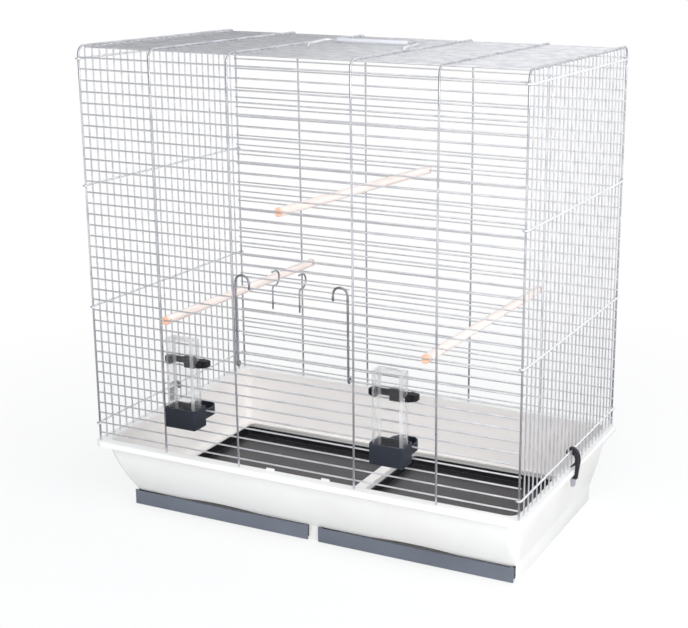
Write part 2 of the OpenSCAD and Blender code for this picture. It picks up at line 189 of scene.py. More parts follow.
@dataclass(frozen=True)
class Moulded:
    """Finish of an opaque moulded plastic, with zones in another tone: painted shade inside the tray and the
    drawers, a grey grip on a side clip.
    """

    name: str
    base: Point
    shade: Point
    roughness: float
    grain: float
    bump: float
    coat: float = 0.0
    flow: float = 9.0
    specular: float = 0.5
    zones: tuple[tuple[Mask, Point], ...] = ()


@dataclass(frozen=True)
class Plated:
    """Finish of a plated wire."""

    name: str
    bright: Point
    dull: Point
    roughness: float
    streak: float
    metallic: float = 0.7


@dataclass(frozen=True)
class Dowel:
    """Finish of a turned wooden dowel, darker at its ends."""

    name: str
    light: Point
    dark: Point
    end: Point
    end_y: float


@dataclass(frozen=True)
class Clear:
    """Finish of a clear moulding, which hides most where it is seen edge on and at its upright corners; the
    near-white cover there is a painted highlight.
    """

    name: str
    tint: Point
    film: Point
    roughness: float
    haze: float
    face_cover: float = 0.05
    rim_highlight_cover: float = 0.8
    corner_highlight_cover: float = 0.6
    corner_roughness: float = 0.3


Finish = Moulded | Plated | Dowel | Clear


def srgb(code: str) -> Point:
    """Turns a hex colour into linear light.

    Args:
        code: Six hex digits.

    Returns:
        Red, green and blue in linear light.
    """
    parts = [int(code[i : i + 2], 16) / 255 for i in (0, 2, 4)]
    return tuple(c / 12.92 if c <= 0.04045 else ((c + 0.055) / 1.055) ** 2.4 for c in parts)


# ---- node writing


class Nodes:
    """A small writer for node trees."""

    def __init__(self, tree: Tree) -> None:
        self.tree = tree

    def node(self, kind: str, inputs: dict | None = None, **settings: object) -> bpy.types.Node:
        """Adds a node.

        Args:
            kind: The node's type name.
            inputs: A value or a socket for each input, by its name or number.
            **settings: Properties to set on it before its inputs.

        Returns:
            The node.
        """
        made = self.tree.nodes.new(kind)
        for key, value in settings.items():
            setattr(made, key, value)
        self.fill(made, inputs or {})
        return made

    def fill(self, node: bpy.types.Node, inputs: dict) -> None:
        """Links or sets inputs of a node, by name or number."""
        for label, value in inputs.items():
            target = node.inputs[label]
            if isinstance(value, Socket):
                self.tree.links.new(value, target)
            elif target.type == "RGBA":
                target.default_value = (*value, 1.0)
            else:
                target.default_value = value

    def out(self, kind: str, inputs: dict | None = None, **settings: object) -> Socket:
        """Adds a node and gives its first output."""
        return self.node(kind, inputs, **settings).outputs[0]

    def math(self, operation: str, a: object, b: object = 0.0) -> Socket:
        """A maths node's result."""
        return self.out("ShaderNodeMath", {0: a, 1: b}, operation=operation)

    def mix(self, factor: object, a: object, b: object) -> Socket:
        """A colour between a and b."""
        return self.node("ShaderNodeMix", {"Factor": factor, 6: a, 7: b}, data_type="RGBA").outputs[2]

    def blend(self, factor: object, a: Socket, b: Socket) -> Socket:
        """A shader between a and b."""
        return self.out("ShaderNodeMixShader", {0: factor, 1: a, 2: b})

    def noise(self, vector: object, scale: object, detail: float) -> Socket:
        """A noise value from 0 to 1."""
        return self.node("ShaderNodeTexNoise", {"Vector": vector, "Scale": scale, "Detail": detail}).outputs["Fac"]

    def span(self, value: Socket, low: float, high: float, to_low: float = 0.0, to_high: float = 1.0) -> Socket:
        """Maps a range onto another, clamped."""
        inputs = {"Value": value, "From Min": low, "From Max": high, "To Min": to_low, "To Max": to_high}
        return self.node("ShaderNodeMapRange", inputs, clamp=True).outputs["Result"]

    def xyz(self, vector: Socket) -> Outputs:
        """The parts of a vector."""
        return self.node("ShaderNodeSeparateXYZ", {0: vector}).outputs

    def place(self) -> Socket:
        """The place on the piece, in its own metres."""
        return self.node("ShaderNodeTexCoord").outputs["Object"]

    def normal(self) -> Socket:
        """The face's own direction."""
        return self.node("ShaderNodeNewGeometry").outputs["True Normal"]

    def times(self, *values: object) -> Socket:
        """The product of numbers, or a mask where all of the given ones are."""
        return reduce(lambda a, b: self.math("MULTIPLY", a, b), values)

    def any_of(self, *masks: Socket) -> Socket:
        """A mask where any of the given ones is."""
        return reduce(lambda a, b: self.math("MAXIMUM", a, b), masks)


def fresh_material(name: str) -> tuple[Material, Nodes]:
    """Starts an empty material and a writer for it."""
    material = bpy.data.materials.new(name)
    material.use_nodes = True
    material.node_tree.nodes.clear()
    return material, Nodes(material.node_tree)


COLOR, FLOAT, VECTOR = "NodeSocketColor", "NodeSocketFloat", "NodeSocketVector"


class SurfaceGroup:
    """A shader group that gives a surface's colour, roughness and height."""

    name = ""
    colours: tuple[str, ...] = ()
    numbers: tuple[str, ...] = ()

    def build(self) -> Tree:
        """Makes the group, with a named input for each colour and number."""
        tree = bpy.data.node_groups.new(self.name, "ShaderNodeTree")
        new_socket = tree.interface.new_socket
        for kind, labels in ((COLOR, self.colours), (FLOAT, self.numbers)):
            for label in labels:
                new_socket(name=label, in_out="INPUT", socket_type=kind)
        for label, kind in (("Color", COLOR), ("Roughness", FLOAT), ("Height", FLOAT)):
            new_socket(name=label, in_out="OUTPUT", socket_type=kind)
        s = Nodes(tree)
        given = s.node("NodeGroupInput").outputs
        colour, roughness, height = self.surface(s, given)
        s.node("NodeGroupOutput", {"Color": colour, "Roughness": roughness, "Height": height})
        return tree

    def surface(self, s: Nodes, given: Outputs) -> Surface:
        """Writes the group's nodes.

        Args:
            s: The writer.
            given: The group's inputs.

        Returns:
            Colour, roughness and height.
        """
        raise NotImplementedError


class Moulding(SurfaceGroup):
    """Moulded plastic: soft flow shades, a fine grain and scuffs."""

    name = "Moulded surface"
    colours = ("Base", "Shade")
    numbers = ("Roughness", "Grain", "Flow")

    def surface(self, s: Nodes, given: Outputs) -> Surface:
        """Shades follow a broad noise, roughness the scuffs and the grain."""
        place = s.place()
        flow = s.noise(place, given["Flow"], detail=2.0)
        grain = s.noise(place, given["Grain"], detail=2.0)
        scuff = s.noise(place, scale=70.0, detail=6.0)
        colour = s.mix(s.span(flow, 0.35, 0.7), given["Base"], given["Shade"])
        worn = s.span(scuff, 0.45, 0.75, to_high=0.1)
        rough = s.math("ADD", given["Roughness"], worn)
        return colour, s.math("ADD", rough, s.times(grain, 0.05)), grain


class Plating(SurfaceGroup):
    """Plated wire: bright metal, duller patches and fine pits."""

    name = "Plated wire"
    colours = ("Bright", "Dull")
    numbers = ("Roughness", "Streak")

    def surface(self, s: Nodes, given: Outputs) -> Surface:
        """Patches are both duller and rougher."""
        place = s.place()
        patch = s.span(s.noise(place, given["Streak"], detail=4.0), 0.35, 0.68)
        pits = s.noise(place, scale=2600.0, detail=2.0)
        rough = s.math("ADD", given["Roughness"], s.times(patch, 0.14))
        return s.mix(patch, given["Bright"], given["Dull"]), rough, pits


class Grain(SurfaceGroup):
    """Wood grain along Y, with a darker end past a given distance."""

    name = "Dowel grain"
    colours = ("Light", "Dark", "End")
    numbers = ("End distance",)
    STRETCH = (1.0, 0.06, 1.0)

    def surface(self, s: Nodes, given: Outputs) -> Surface:
        """Fine fibres and broader rings, both drawn out along the dowel."""
        place = s.place()
        along = s.node("ShaderNodeMapping", {"Vector": place, "Scale": self.STRETCH}).outputs["Vector"]
        fibre = s.noise(along, scale=900.0, detail=4.0)
        ring = s.noise(along, scale=160.0, detail=2.0)
        both = s.math("ADD", s.times(fibre, 0.4), s.times(ring, 0.6))
        wood = s.mix(s.span(both, 0.38, 0.66), given["Light"], given["Dark"])
        far = s.math("SUBTRACT", s.math("ABSOLUTE", s.xyz(place)["Y"]), given["End distance"])
        ragged = s.math("ADD", far, s.times(fibre, 0.004))
        colour = s.mix(s.span(ragged, 0.0, 0.006, to_high=0.85), wood, given["End"])
        return colour, s.span(fibre, 0.3, 0.7, 0.5, 0.68), fibre


# ---- tone zones: painted shade inside the tray and the drawers, and a clip's grey grip


# where a zone begins and where it is full: places in metres, or parts of a direction
TRAY_ABOVE = (0.0195, 0.0205)
TRAY_RIM = (0.0915, 0.0895)
TRAY_FLOOR = (0.0232, 0.0224)
DRAWER_FRONT = (-0.1186, -0.1182)
DRAWER_ABOVE = (0.0047, 0.0052)
DRAWER_FLOOR = (0.0056, 0.0052)
DRAWER_SIDES = (0.103, 0.113)
DRAWER_REAR = (0.098, 0.12)
INWARDS = (-0.01, -0.03)
UPWARDS = (0.7, 0.9)
UPRIGHT_CORNER = (0.2, 0.42)
# a drawer's middle, how dark the painted shade on its floor gets beside its walls, and the tip of a clip
DRAWER_X = 0.1255
SIDE_SHADE, REAR_SHADE = 0.75, 0.85
TIP_SHARE, TIP_FADE = 0.22, 0.0015


def tray_inside_shade(s: Nodes) -> Socket:
    """Where the tray's inside is painted a slightly warmer shade tone: its floor, and its walls where they face
    its middle.
    """
    place = s.place()
    z = s.xyz(place)["Z"]
    facing = s.node("ShaderNodeVectorMath", {0: place, 1: s.normal()}, operation="DOT_PRODUCT")
    inwards, above = s.span(facing.outputs["Value"], *INWARDS), s.span(z, *TRAY_ABOVE)
    walls = s.times(inwards, above, s.span(z, *TRAY_RIM))
    return s.any_of(walls, s.times(s.span(z, *TRAY_FLOOR), above))


def drawer_inside_shade(s: Nodes) -> Socket:
    """All of a drawer behind its front, which is painted darker than the front: painted shade."""
    return s.span(s.xyz(s.place())["Y"], *DRAWER_FRONT)


def drawer_depth_shade(s: Nodes) -> Socket:
    """Painted shade: a drawer's inner walls painted near black, and a soft painted shade on its floor beside them.
    """
    place, normal = s.xyz(s.place()), s.xyz(s.normal())
    # the place across is counted from the drawer's own middle
    middle = s.times(s.math("SIGN", place["X"]), DRAWER_X)
    across = s.math("SUBTRACT", place["X"], middle)
    along_x, along_y = s.times(across, normal["X"]), s.times(place["Y"], normal["Y"])
    inwards = s.span(s.math("ADD", along_x, along_y), *INWARDS)
    walls = s.times(inwards, s.span(place["Z"], *DRAWER_ABOVE))
    beside = s.span(s.math("ABSOLUTE", across), *DRAWER_SIDES, to_high=SIDE_SHADE)
    rear = s.span(place["Y"], *DRAWER_REAR, to_high=REAR_SHADE)
    floor = s.times(s.span(normal["Z"], *UPWARDS), s.span(place["Z"], *DRAWER_FLOOR))
    shade = s.times(s.any_of(beside, rear), floor)
    return s.times(s.any_of(walls, shade), s.span(place["Y"], *DRAWER_FRONT))


def clip_tip(s: Nodes) -> Socket:
    """The grip at a side clip's lower end."""
    low, high = (corner[2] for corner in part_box("side_clip_right"))
    edge = low + (high - low) * TIP_SHARE
    return s.span(s.xyz(s.place())["Z"], edge, edge - TIP_FADE)


def upright_corners(s: Nodes) -> Socket:
    """Upright edges, whose faces look neither along X nor along Y; a clear tube is rougher there and carries a
    painted highlight.
    """
    normal = s.xyz(s.normal())
    both = s.times(s.math("ABSOLUTE", normal["X"]), s.math("ABSOLUTE", normal["Y"]))
    return s.span(both, *UPRIGHT_CORNER)


# ---- paint

# the tray's inside is painted a slightly warmer tone than the same plastic outside: painted shade
WELL_SHADE_TINT = ((tray_inside_shade, srgb("F6F2EF")),)
# a drawer's inside is painted darker behind its front, and near black on its inner walls and its floor's edges:
# painted shade
BOX_PAINTED_SHADE = ((drawer_inside_shade, srgb("5C5A5B")), (drawer_depth_shade, srgb("1A191C")))
TIP = ((clip_tip, srgb("A3A2AA")),)
CREAM = Moulded("cream tray well", srgb("F5F5F3"), srgb("EFEEEB"), 0.34, 900.0, 0.02, coat=0.25, zones=WELL_SHADE_TINT)
SLATE = Moulded("slate drawer box", srgb("6E7580"), srgb("646A74"), 0.52, 1400.0, 0.08, specular=0.35, zones=BOX_PAINTED_SHADE)
SIDE_CLIP = Moulded("side clip tip", srgb("2A262F"), srgb("1E1B22"), 0.38, 1500.0, 0.05, specular=0.45, zones=TIP)
CHARCOAL = Moulded("charcoal trough", srgb("2A2F39"), srgb("22262F"), 0.45, 1200.0, 0.05, specular=0.3)
BLACK = Moulded("black clip", srgb("17161C"), srgb("0F0F14"), 0.42, 1500.0, 0.05, specular=0.3)
WHITE = Moulded("white grip", srgb("D9DAE0"), srgb("CFD0D7"), 0.4, 1100.0, 0.03)
# lighter finishes for rounded edges: painted highlights along the drawers' and troughs' edges
SLATE_EDGE_HIGHLIGHT = Moulded("slate painted edge highlight", srgb("9DA2AB"), srgb("8F949E"), 0.35, 1400.0, 0.04)
CHARCOAL_EDGE_HIGHLIGHT = Moulded("charcoal painted edge highlight", srgb("B4B8C2"), srgb("9A9FAA"), 0.3, 1200.0, 0.03)
WIRE = Plated("plated bars", srgb("F2F2F4"), srgb("D8D9DE"), 0.3, 60.0)
# lit and shaded copies of one plated wire: the back bars and the stiffeners are painted lighter, the side bars,
# posts and door wire darker, as painted light and shade
FAR_WIRE_PAINTED_LIGHT = Plated("bars painted pale", srgb("FDFDFE"), srgb("EEEFF2"), 0.3, 60.0)
SIDE_WIRE_PAINTED_SHADE = Plated("side bars painted darker", srgb("ECEDF0"), srgb("CFD0D6"), 0.3, 60.0)
STIFFENER_PAINTED_LIGHT = Plated("stiffeners painted bright", srgb("FCFCFE"), srgb("F0F1F4"), 0.2, 45.0)
POST_PAINTED_SHADE = Plated("posts painted darker", srgb("E2E2E8"), srgb("BEBFC8"), 0.16, 45.0, metallic=0.92)
CANE_PAINTED_SHADE = Plated("door wire painted dark", srgb("BCBDC4"), srgb("8E9098"), 0.16, 50.0, metallic=0.92)
BEECH = Dowel("beech dowel", srgb("FBF1EC"), srgb("F4E1D8"), srgb("E0AC8A"), end_y=0.1545)
CLEAR = Clear("clear tube", srgb("FCFDFE"), film=(0.85, 0.87, 0.9), roughness=0.03, haze=0.05)


class Paint:
    """Makes each finish's material once."""

    def __init__(self) -> None:
        self.moulding = Moulding().build()
        self.plating = Plating().build()
        self.grain = Grain().build()
        self.makers = {Moulded: self._moulded, Plated: self._plated, Dowel: self._dowel, Clear: self._clear}
        self.made: dict[str, Material] = {}

    def of(self, finish: Finish) -> Material:
        """The material of a finish.

        Args:
            finish: What the piece is made of.

        Returns:
            The material, made when it is first asked for.
        """
        if finish.name not in self.made:
            self.made[finish.name] = self.makers[type(finish)](finish)
        return self.made[finish.name]

    @staticmethod
    def _from_group(
        name: str, tree: Tree, values: dict, bump: float, depth: float
    ) -> tuple[Material, Nodes, bpy.types.Node, Socket]:
        """Starts a material whose colour, roughness and height come from a group.

        Args:
            name: The material's name.
            tree: The group.
            values: The group's inputs.
            bump: Strength of the height.
            depth: Depth of the height, in metres.

        Returns:
            The material, a writer for it, its shader and the group's colour.
        """
        material, s = fresh_material(name)
        group = s.node("ShaderNodeGroup", values, node_tree=tree).outputs
        relief = s.node("ShaderNodeBump", {"Strength": bump, "Distance": depth, "Height": group["Height"]})
        inputs = {"Roughness": group["Roughness"], "Normal": relief.outputs["Normal"]}
        body = s.node("ShaderNodeBsdfPrincipled", inputs)
        s.node("ShaderNodeOutputMaterial", {"Surface": body.outputs[0]})
        return material, s, body, group["Color"]

    def _moulded(self, f: Moulded) -> Material:
        """A moulded plastic's material, with its zones one over the other."""
        values = {"Base": f.base, "Shade": f.shade, "Roughness": f.roughness, "Grain": f.grain, "Flow": f.flow}
        material, s, body, colour = self._from_group(f.name, self.moulding, values, f.bump, depth=0.0004)
        for zone, tone in f.zones:
            colour = s.mix(zone(s), colour, tone)
        s.fill(body, {"Base Color": colour, "Coat Weight": f.coat, "Coat Roughness": 0.2})
        s.fill(body, {"Specular IOR Level": f.specular})
        return material

    def _plated(self, f: Plated) -> Material:
        """A plated wire's material."""
        values = {"Bright": f.bright, "Dull": f.dull, "Roughness": f.roughness, "Streak": f.streak}
        material, s, body, colour = self._from_group(f.name, self.plating, values, bump=0.05, depth=0.0001)
        s.fill(body, {"Base Color": colour, "Metallic": f.metallic})
        return material

    def _dowel(self, f: Dowel) -> Material:
        """A wooden dowel's material."""
        values = {"Light": f.light, "Dark": f.dark, "End": f.end, "End distance": f.end_y}
        material, s, body, colour = self._from_group(f.name, self.grain, values, bump=0.12, depth=0.0003)
        s.fill(body, {"Base Color": colour})
        return material

    def _clear(self, f: Clear) -> Material:
        """A clear moulding's material: mostly see-through, with a hazy film."""
        material, s = fresh_material(f.name)
        corner = upright_corners(s)
        haze = s.span(s.noise(s.place(), scale=45.0, detail=3.0), 0.35, 0.75, to_high=f.haze)
        rough = s.math("ADD", s.math("ADD", haze, f.roughness), s.times(corner, f.corner_roughness))
        grazing = s.node("ShaderNodeLayerWeight", {"Blend": 0.35}).outputs["Facing"]
        # where the tube is seen edge on and at its upright corners it turns more opaque in its near-white tint: a
        # painted highlight
        cover = s.span(grazing, 0.15, 0.95, f.face_cover, f.rim_highlight_cover)
        inputs = {
            "Base Color": s.mix(haze, f.tint, f.film),
            "Roughness": rough,
            "Alpha": s.any_of(cover, s.times(corner, f.corner_highlight_cover)),
            "Transmission Weight": 0.8,
            "IOR": 1.12,
            "Coat Weight": 0.5,
            "Coat Roughness": 0.05,
        }
        body = s.node("ShaderNodeBsdfPrincipled", inputs)
        s.node("ShaderNodeOutputMaterial", {"Surface": body.outputs[0]})
        return material


# ---- meshing


def placed(name: str, data: bpy.types.ID) -> Object:
    """Adds an object to the scene."""
    made = bpy.data.objects.new(name, data)
    bpy.context.scene.collection.objects.link(made)
    return made


def enlisted(made: Object, node: str, body: str) -> Object:
    """Lets a piece stand for its CAD node and on its body."""
    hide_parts(node)
    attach(made, body)
    LOG.info("%s: %d faces", made.name, len(made.data.polygons))
    return made


class Mesher:
    """Collects wires into one mesh."""

    # rings past a wire's end: distance and width, in radii of the wire
    DOME = ((0.275, 0.8), (0.475, 0.35))

    def __init__(self) -> None:
        self.mesh = bmesh.new()

    def tube(self, points: list[Point], diameter: float, sides: int = 10) -> None:
        """Adds a round wire with closed, slightly rounded ends.

        Args:
            points: The wire's centre line, in millimetres.
            diameter: Its thickness, in millimetres.
            sides: Faces round it.
        """
        line = [Vector(p) * MM for p in points]
        radius = diameter / 2 * MM
        side = (line[1] - line[0]).normalized().orthogonal().normalized()
        rings = []
        for i, at in enumerate(line):
            ahead = (line[min(i + 1, len(line) - 1)] - line[max(i - 1, 0)]).normalized()
            side = (side - ahead * side.dot(ahead)).normalized()
            rings.append((at, side.copy(), ahead.cross(side), radius))
        start = [self._dome_ring(rings[0], line[0] - line[1], ring) for ring in reversed(self.DOME)]
        end = [self._dome_ring(rings[-1], line[-1] - line[-2], ring) for ring in self.DOME]
        angles = [2 * math.pi * k / sides for k in range(sides)]
        previous = None
        for centre, x, y, r in start + rings + end:
            loop = [self.mesh.verts.new(centre + (x * math.cos(a) + y * math.sin(a)) * r) for a in angles]
            if previous is None:
                self.mesh.faces.new(list(reversed(loop)))
            else:
                for k in range(sides):
                    j = (k + 1) % sides
                    self.mesh.faces.new([previous[k], previous[j], loop[j], loop[k]])
            previous = loop
        self.mesh.faces.new(previous)

    @staticmethod
    def _dome_ring(last: tuple, outwards: Vector, ring: tuple[float, float]) -> tuple:
        """One ring of a rounded end, past the wire's last ring."""
        at, x, y, radius = last
        out, wide = ring
        return at + outwards.normalized() * radius * out, x, y, radius * wide

    def add(self, mesh: Mesh, material: int) -> None:
        """Adds a finished mesh in one material and deletes its data block."""
        mesh.polygons.foreach_set("material_index", [material] * len(mesh.polygons))
        self.mesh.from_mesh(mesh)
        bpy.data.meshes.remove(mesh)

    def piece(self, name: str, *materials: Material) -> Object:
        """Turns what was collected into an object with smooth faces."""
        data = bpy.data.meshes.new(name)
        for face in self.mesh.faces:
            face.smooth = True
        self.mesh.normal_update()
        self.mesh.to_mesh(data)
        self.mesh.free()
        for material in materials:
            data.materials.append(material)
        return placed(name, data)


def arc(centre: Point, radius: float, start: float, sweep: float, plane: str, steps: int = 10) -> list[Point]:
    """Points on an arc.

    Args:
        centre: Its middle, in millimetres.
        radius: Its radius, in millimetres.
        start: Start angle in degrees.
        sweep: Angle to turn, in degrees.
        plane: "xy", "yz" or "xz"; the first letter is the direction of angle 0.
        steps: Number of stretches.

    Returns:
        The points, both ends included.
    """
    first, second = ("xyz".index(c) for c in plane)
    points = []
    for i in range(steps + 1):
        angle = math.radians(start + sweep * i / steps)
        at = list(centre)
        at[first] += radius * math.cos(angle)
        at[second] += radius * math.sin(angle)
        points.append(tuple(at))
    return points


def between(start: Point, end: Point, steps: int = 8) -> list[Point]:
    """Points on a straight line, both ends left out."""
    return [tuple(a + (b - a) * k / steps for a, b in zip(start, end)) for k in range(1, steps)]


@dataclass(frozen=True)
class Bars:
    """A row of equal bars, in millimetres.

    The first bar starts at first, each next one starts a step further, and each
    runs along run. Bow is the largest departure from straight.
    """

    count: int
    first: Point
    step: Point
    run: Point
    bow: float = 0.5


class BarField:
    """Makes rows of bars with one Geometry Nodes group."""

    GROUP = "Bar field"
    NUMBER = "bar"
    STATIONS = 9
    SIDES = 10
    WAVE_SCALE = 3.0
    WAVE_PHASE = 7.31
    INPUTS = {
        "Count": "NodeSocketInt",
        "First": VECTOR,
        "Step": VECTOR,
        "Run": VECTOR,
        "Radius": FLOAT,
        "Bow": FLOAT,
        "Material": "NodeSocketMaterial",
    }

    def __init__(self) -> None:
        self.tree = bpy.data.node_groups.new(self.GROUP, "GeometryNodeTree")
        self.sockets = self._sockets()
        self._build(Nodes(self.tree))

    def _sockets(self) -> dict[str, str]:
        """Makes the group's sockets and keeps its inputs' identifiers."""
        new_socket = self.tree.interface.new_socket
        new_socket(name="Geometry", in_out="OUTPUT", socket_type="NodeSocketGeometry")
        return {
            label: new_socket(name=label, in_out="INPUT", socket_type=kind).identifier
            for label, kind in self.INPUTS.items()
        }

    def _build(self, s: Nodes) -> None:
        """Points in a row, a bar on each, a slight bow, then the round section."""
        given = s.node("NodeGroupInput").outputs
        row = {"Count": given["Count"], "Start Location": given["First"], "Offset": given["Step"]}
        tag = {"Geometry": s.out("GeometryNodeMeshLine", row), "Name": self.NUMBER}
        tag["Value"] = s.out("GeometryNodeInputIndex")
        starts = s.out("GeometryNodeStoreNamedAttribute", tag)
        line = s.out("GeometryNodeCurvePrimitiveLine", {"End": given["Run"]})
        fine = s.out("GeometryNodeResampleCurve", {"Curve": line, "Count": self.STATIONS})
        spread = s.out("GeometryNodeInstanceOnPoints", {"Points": starts, "Instance": fine})
        lines = s.out("GeometryNodeRealizeInstances", {0: spread})
        sway = self._sway(s, given["Bow"])
        bowed = s.out("GeometryNodeSetPosition", {"Geometry": lines, "Offset": sway})
        size = {"Resolution": self.SIDES, "Radius": given["Radius"]}
        circle = s.out("GeometryNodeCurvePrimitiveCircle", size)
        section = {"Curve": bowed, "Profile Curve": circle, "Fill Caps": True}
        whole = s.out("GeometryNodeRealizeInstances", {0: s.out("GeometryNodeCurveToMesh", section)})
        coat = {"Geometry": whole, "Material": given["Material"]}
        s.node("NodeGroupOutput", {0: s.out("GeometryNodeSetMaterial", coat)})

    def _sway(self, s: Nodes, bow: Socket) -> Socket:
        """How far a point leaves its bar's line, by a noise that differs from bar to bar."""
        number = s.out("GeometryNodeInputNamedAttribute", {"Name": self.NUMBER})
        wave = {
            "Vector": s.out("GeometryNodeInputPosition"),
            "W": s.times(number, self.WAVE_PHASE),
            "Scale": self.WAVE_SCALE,
            "Detail": 0.0,
        }
        noise = s.node("ShaderNodeTexNoise", wave, noise_dimensions="4D").outputs["Color"]
        centred = s.out("ShaderNodeVectorMath", {0: noise, 1: (0.5, 0.5, 0.5)}, operation="SUBTRACT")
        return s.out("ShaderNodeVectorMath", {0: centred, "Scale": bow}, operation="SCALE")

    def make(self, bars: Bars, diameter: float, material: Material) -> Mesh:
        """Makes one row of bars.

        Args:
            bars: Where they stand and how many there are.
            diameter: Their thickness, in millimetres.
            material: What they are made of.

        Returns:
            The bars as one mesh.
        """
        host = placed("bars", bpy.data.meshes.new("bars"))
        modifier = host.modifiers.new("bars", "NODES")
        modifier.node_group = self.tree
        values = {
            "Count": bars.count,
            "First": [v * MM for v in bars.first],
            "Step": [v * MM for v in bars.step],
            "Run": [v * MM for v in bars.run],
            "Radius": diameter / 2 * MM,
            "Bow": bars.bow * MM,
            "Material": material,
        }
        for label, value in values.items():
            modifier[self.sockets[label]] = value
        host.update_tag()
        graph = bpy.context.evaluated_depsgraph_get()
        mesh = bpy.data.meshes.new_from_object(host.evaluated_get(graph))
        host.modifiers.remove(modifier)
        spare = host.data
        bpy.data.objects.remove(host)
        bpy.data.meshes.remove(spare)
        return mesh


# ---- wire pieces


class WirePiece:
    """One welded piece of wire, made as a single mesh."""

    node = ""
    body = "cage"
    wire_finish = WIRE
    bar_finish = WIRE

    def __init__(self, paint: Paint, bar_field: BarField) -> None:
        self.paint = paint
        self.bar_field = bar_field
        self.mesher = Mesher()

    def bars(self, bars: Bars) -> None:
        """Adds a row of bars to the piece, in its second material."""
        mesh = self.bar_field.make(bars, SIZE.bar, self.paint.of(self.bar_finish))
        self.mesher.add(mesh, 1)

    def shape(self) -> None:
        """Adds the piece's wires."""
        raise NotImplementedError

    def build(self) -> Object:
        """Makes the piece and lets it stand for its CAD node.

        Returns:
            The piece.
        """
        self.shape()
        materials = (self.paint.of(self.wire_finish), self.paint.of(self.bar_finish))
        made = self.mesher.piece(self.node + "_wires", *materials)
        return enlisted(made, self.node, self.body)


class FrontGrille(WirePiece):
    """Front panel, open in the middle for the door."""

    node = "front_grille"
    wire_finish = POST_PAINTED_SHADE
    POST_BOWS = (0.0, 0.9, -0.7, 0.8, -0.9, 0.0)
    POST_STEPS = 12

    def rows(self, low: int, high: int, x0: float, x1: float) -> None:
        """Adds cross bars.

        Args:
            low: First row.
            high: Last row.
            x0: Left end.
            x1: Right end.
        """
        first = (x0, -SIZE.row_y, SIZE.row_z(low))
        self.bars(Bars(high - low + 1, first, (0, 0, SIZE.pitch), (x1 - x0, 0, 0)))

    def shape(self) -> None:
        """Cross bars and the straight stretch of the long wires."""
        end, cut = SIZE.row_end, SIZE.cut_end
        low, top = SIZE.door_row, SIZE.door_top
        self.rows(0, low, -end, end)
        self.rows(low + 1, top, -end, -cut)
        self.rows(low + 1, top, cut, end)
        self.rows(top + 1, SIZE.rows - 1, -end, end)
        self.posts(-SIZE.back_y)

    def posts(self, y: float) -> None:
        """Adds the long wires' upright stretch in plane y, a little bowed."""
        height = SIZE.roof_z - SIZE.bend - SIZE.foot_z
        shares = [k / self.POST_STEPS for k in range(self.POST_STEPS + 1)]
        for x, bow in zip(SIZE.posts, self.POST_BOWS):
            points = [(x + bow * math.sin(math.pi * t), y, SIZE.foot_z + height * t) for t in shares]
            self.mesher.tube(points, SIZE.post)


class BackGrille(FrontGrille):
    """Back panel, a full grid."""

    node = "back_grille"
    bar_finish = FAR_WIRE_PAINTED_LIGHT

    def shape(self) -> None:
        """As at the front, without the opening."""
        end = SIZE.row_end
        first = (-end, SIZE.row_y, SIZE.row0_z)
        self.bars(Bars(SIZE.rows, first, (0, 0, SIZE.pitch), (2 * end, 0, 0)))
        self.posts(SIZE.back_y)


class RoofGrille(WirePiece):
    """Roof: the long wires turn over it."""

    node = "roof_grille"
    wire_finish = POST_PAINTED_SHADE
    TUCK = 0.5
    BAR_PAST_POST = 0.6

    def shape(self) -> None:
        """Long wires with both turns, and the cross bars."""
        b, y, z = SIZE.bend, SIZE.back_y, SIZE.roof_z
        for x in SIZE.posts:
            points = [(x, -y, z - b - self.TUCK)]
            points += arc((x, b - y, z - b), b, 180, -90, "yz")
            points += between((x, b - y, z), (x, y - b, z))
            points += arc((x, y - b, z - b), b, 90, -90, "yz")
            points.append((x, y, z - b - self.TUCK))
            self.mesher.tube(points, SIZE.post)
        end = SIZE.post_x + self.BAR_PAST_POST
        first = (-end, SIZE.pitch - y, SIZE.cross_z)
        self.bars(Bars(SIZE.side_bars - 2, first, (0, SIZE.pitch, 0), (2 * end, 0, 0)))


class SideGrille(WirePiece):
    """Side panel: upright bars on four stiffening wires."""

    side = 1
    wire_finish = STIFFENER_PAINTED_LIGHT
    bar_finish = SIDE_WIRE_PAINTED_SHADE
    STIFFENERS = 4
    LOWEST_ROW = 1
    HIGHEST_ROW = SIZE.rows - 1 - 0.12
    HOOK_SWEEP = 150
    BOW = 0.6

    def shape(self) -> None:
        """Uprights, and stiffeners whose ends hook round the corner posts."""
        y = SIZE.back_y
        height = SIZE.cross_z - SIZE.bar / 2 - SIZE.rest_gap - SIZE.foot_z
        first = (self.side * SIZE.width / 2, SIZE.pitch - y, SIZE.foot_z)
        self.bars(Bars(SIZE.side_bars - 2, first, (0, SIZE.pitch, 0), (0, 0, height), self.BOW))
        r, px = SIZE.hook_r, SIZE.post_x
        for j in range(self.STIFFENERS):
            share = j / (self.STIFFENERS - 1)
            z = SIZE.row_z(self.LOWEST_ROW + (self.HIGHEST_ROW - self.LOWEST_ROW) * share)
            points = list(reversed(arc((px, -y, z), r, 0, -self.HOOK_SWEEP, "xy", 12)))
            points += between((px + r, -y, z), (px + r, y, z))
            points += arc((px, y, z), r, 0, self.HOOK_SWEEP, "xy", 12)
            self.mesher.tube([(self.side * p[0], p[1], p[2]) for p in points], SIZE.post)


class RightGrille(SideGrille):
    """Right side panel."""

    node = "right_grille"


class LeftGrille(SideGrille):
    """Left side panel."""

    node = "left_grille"
    side = -1


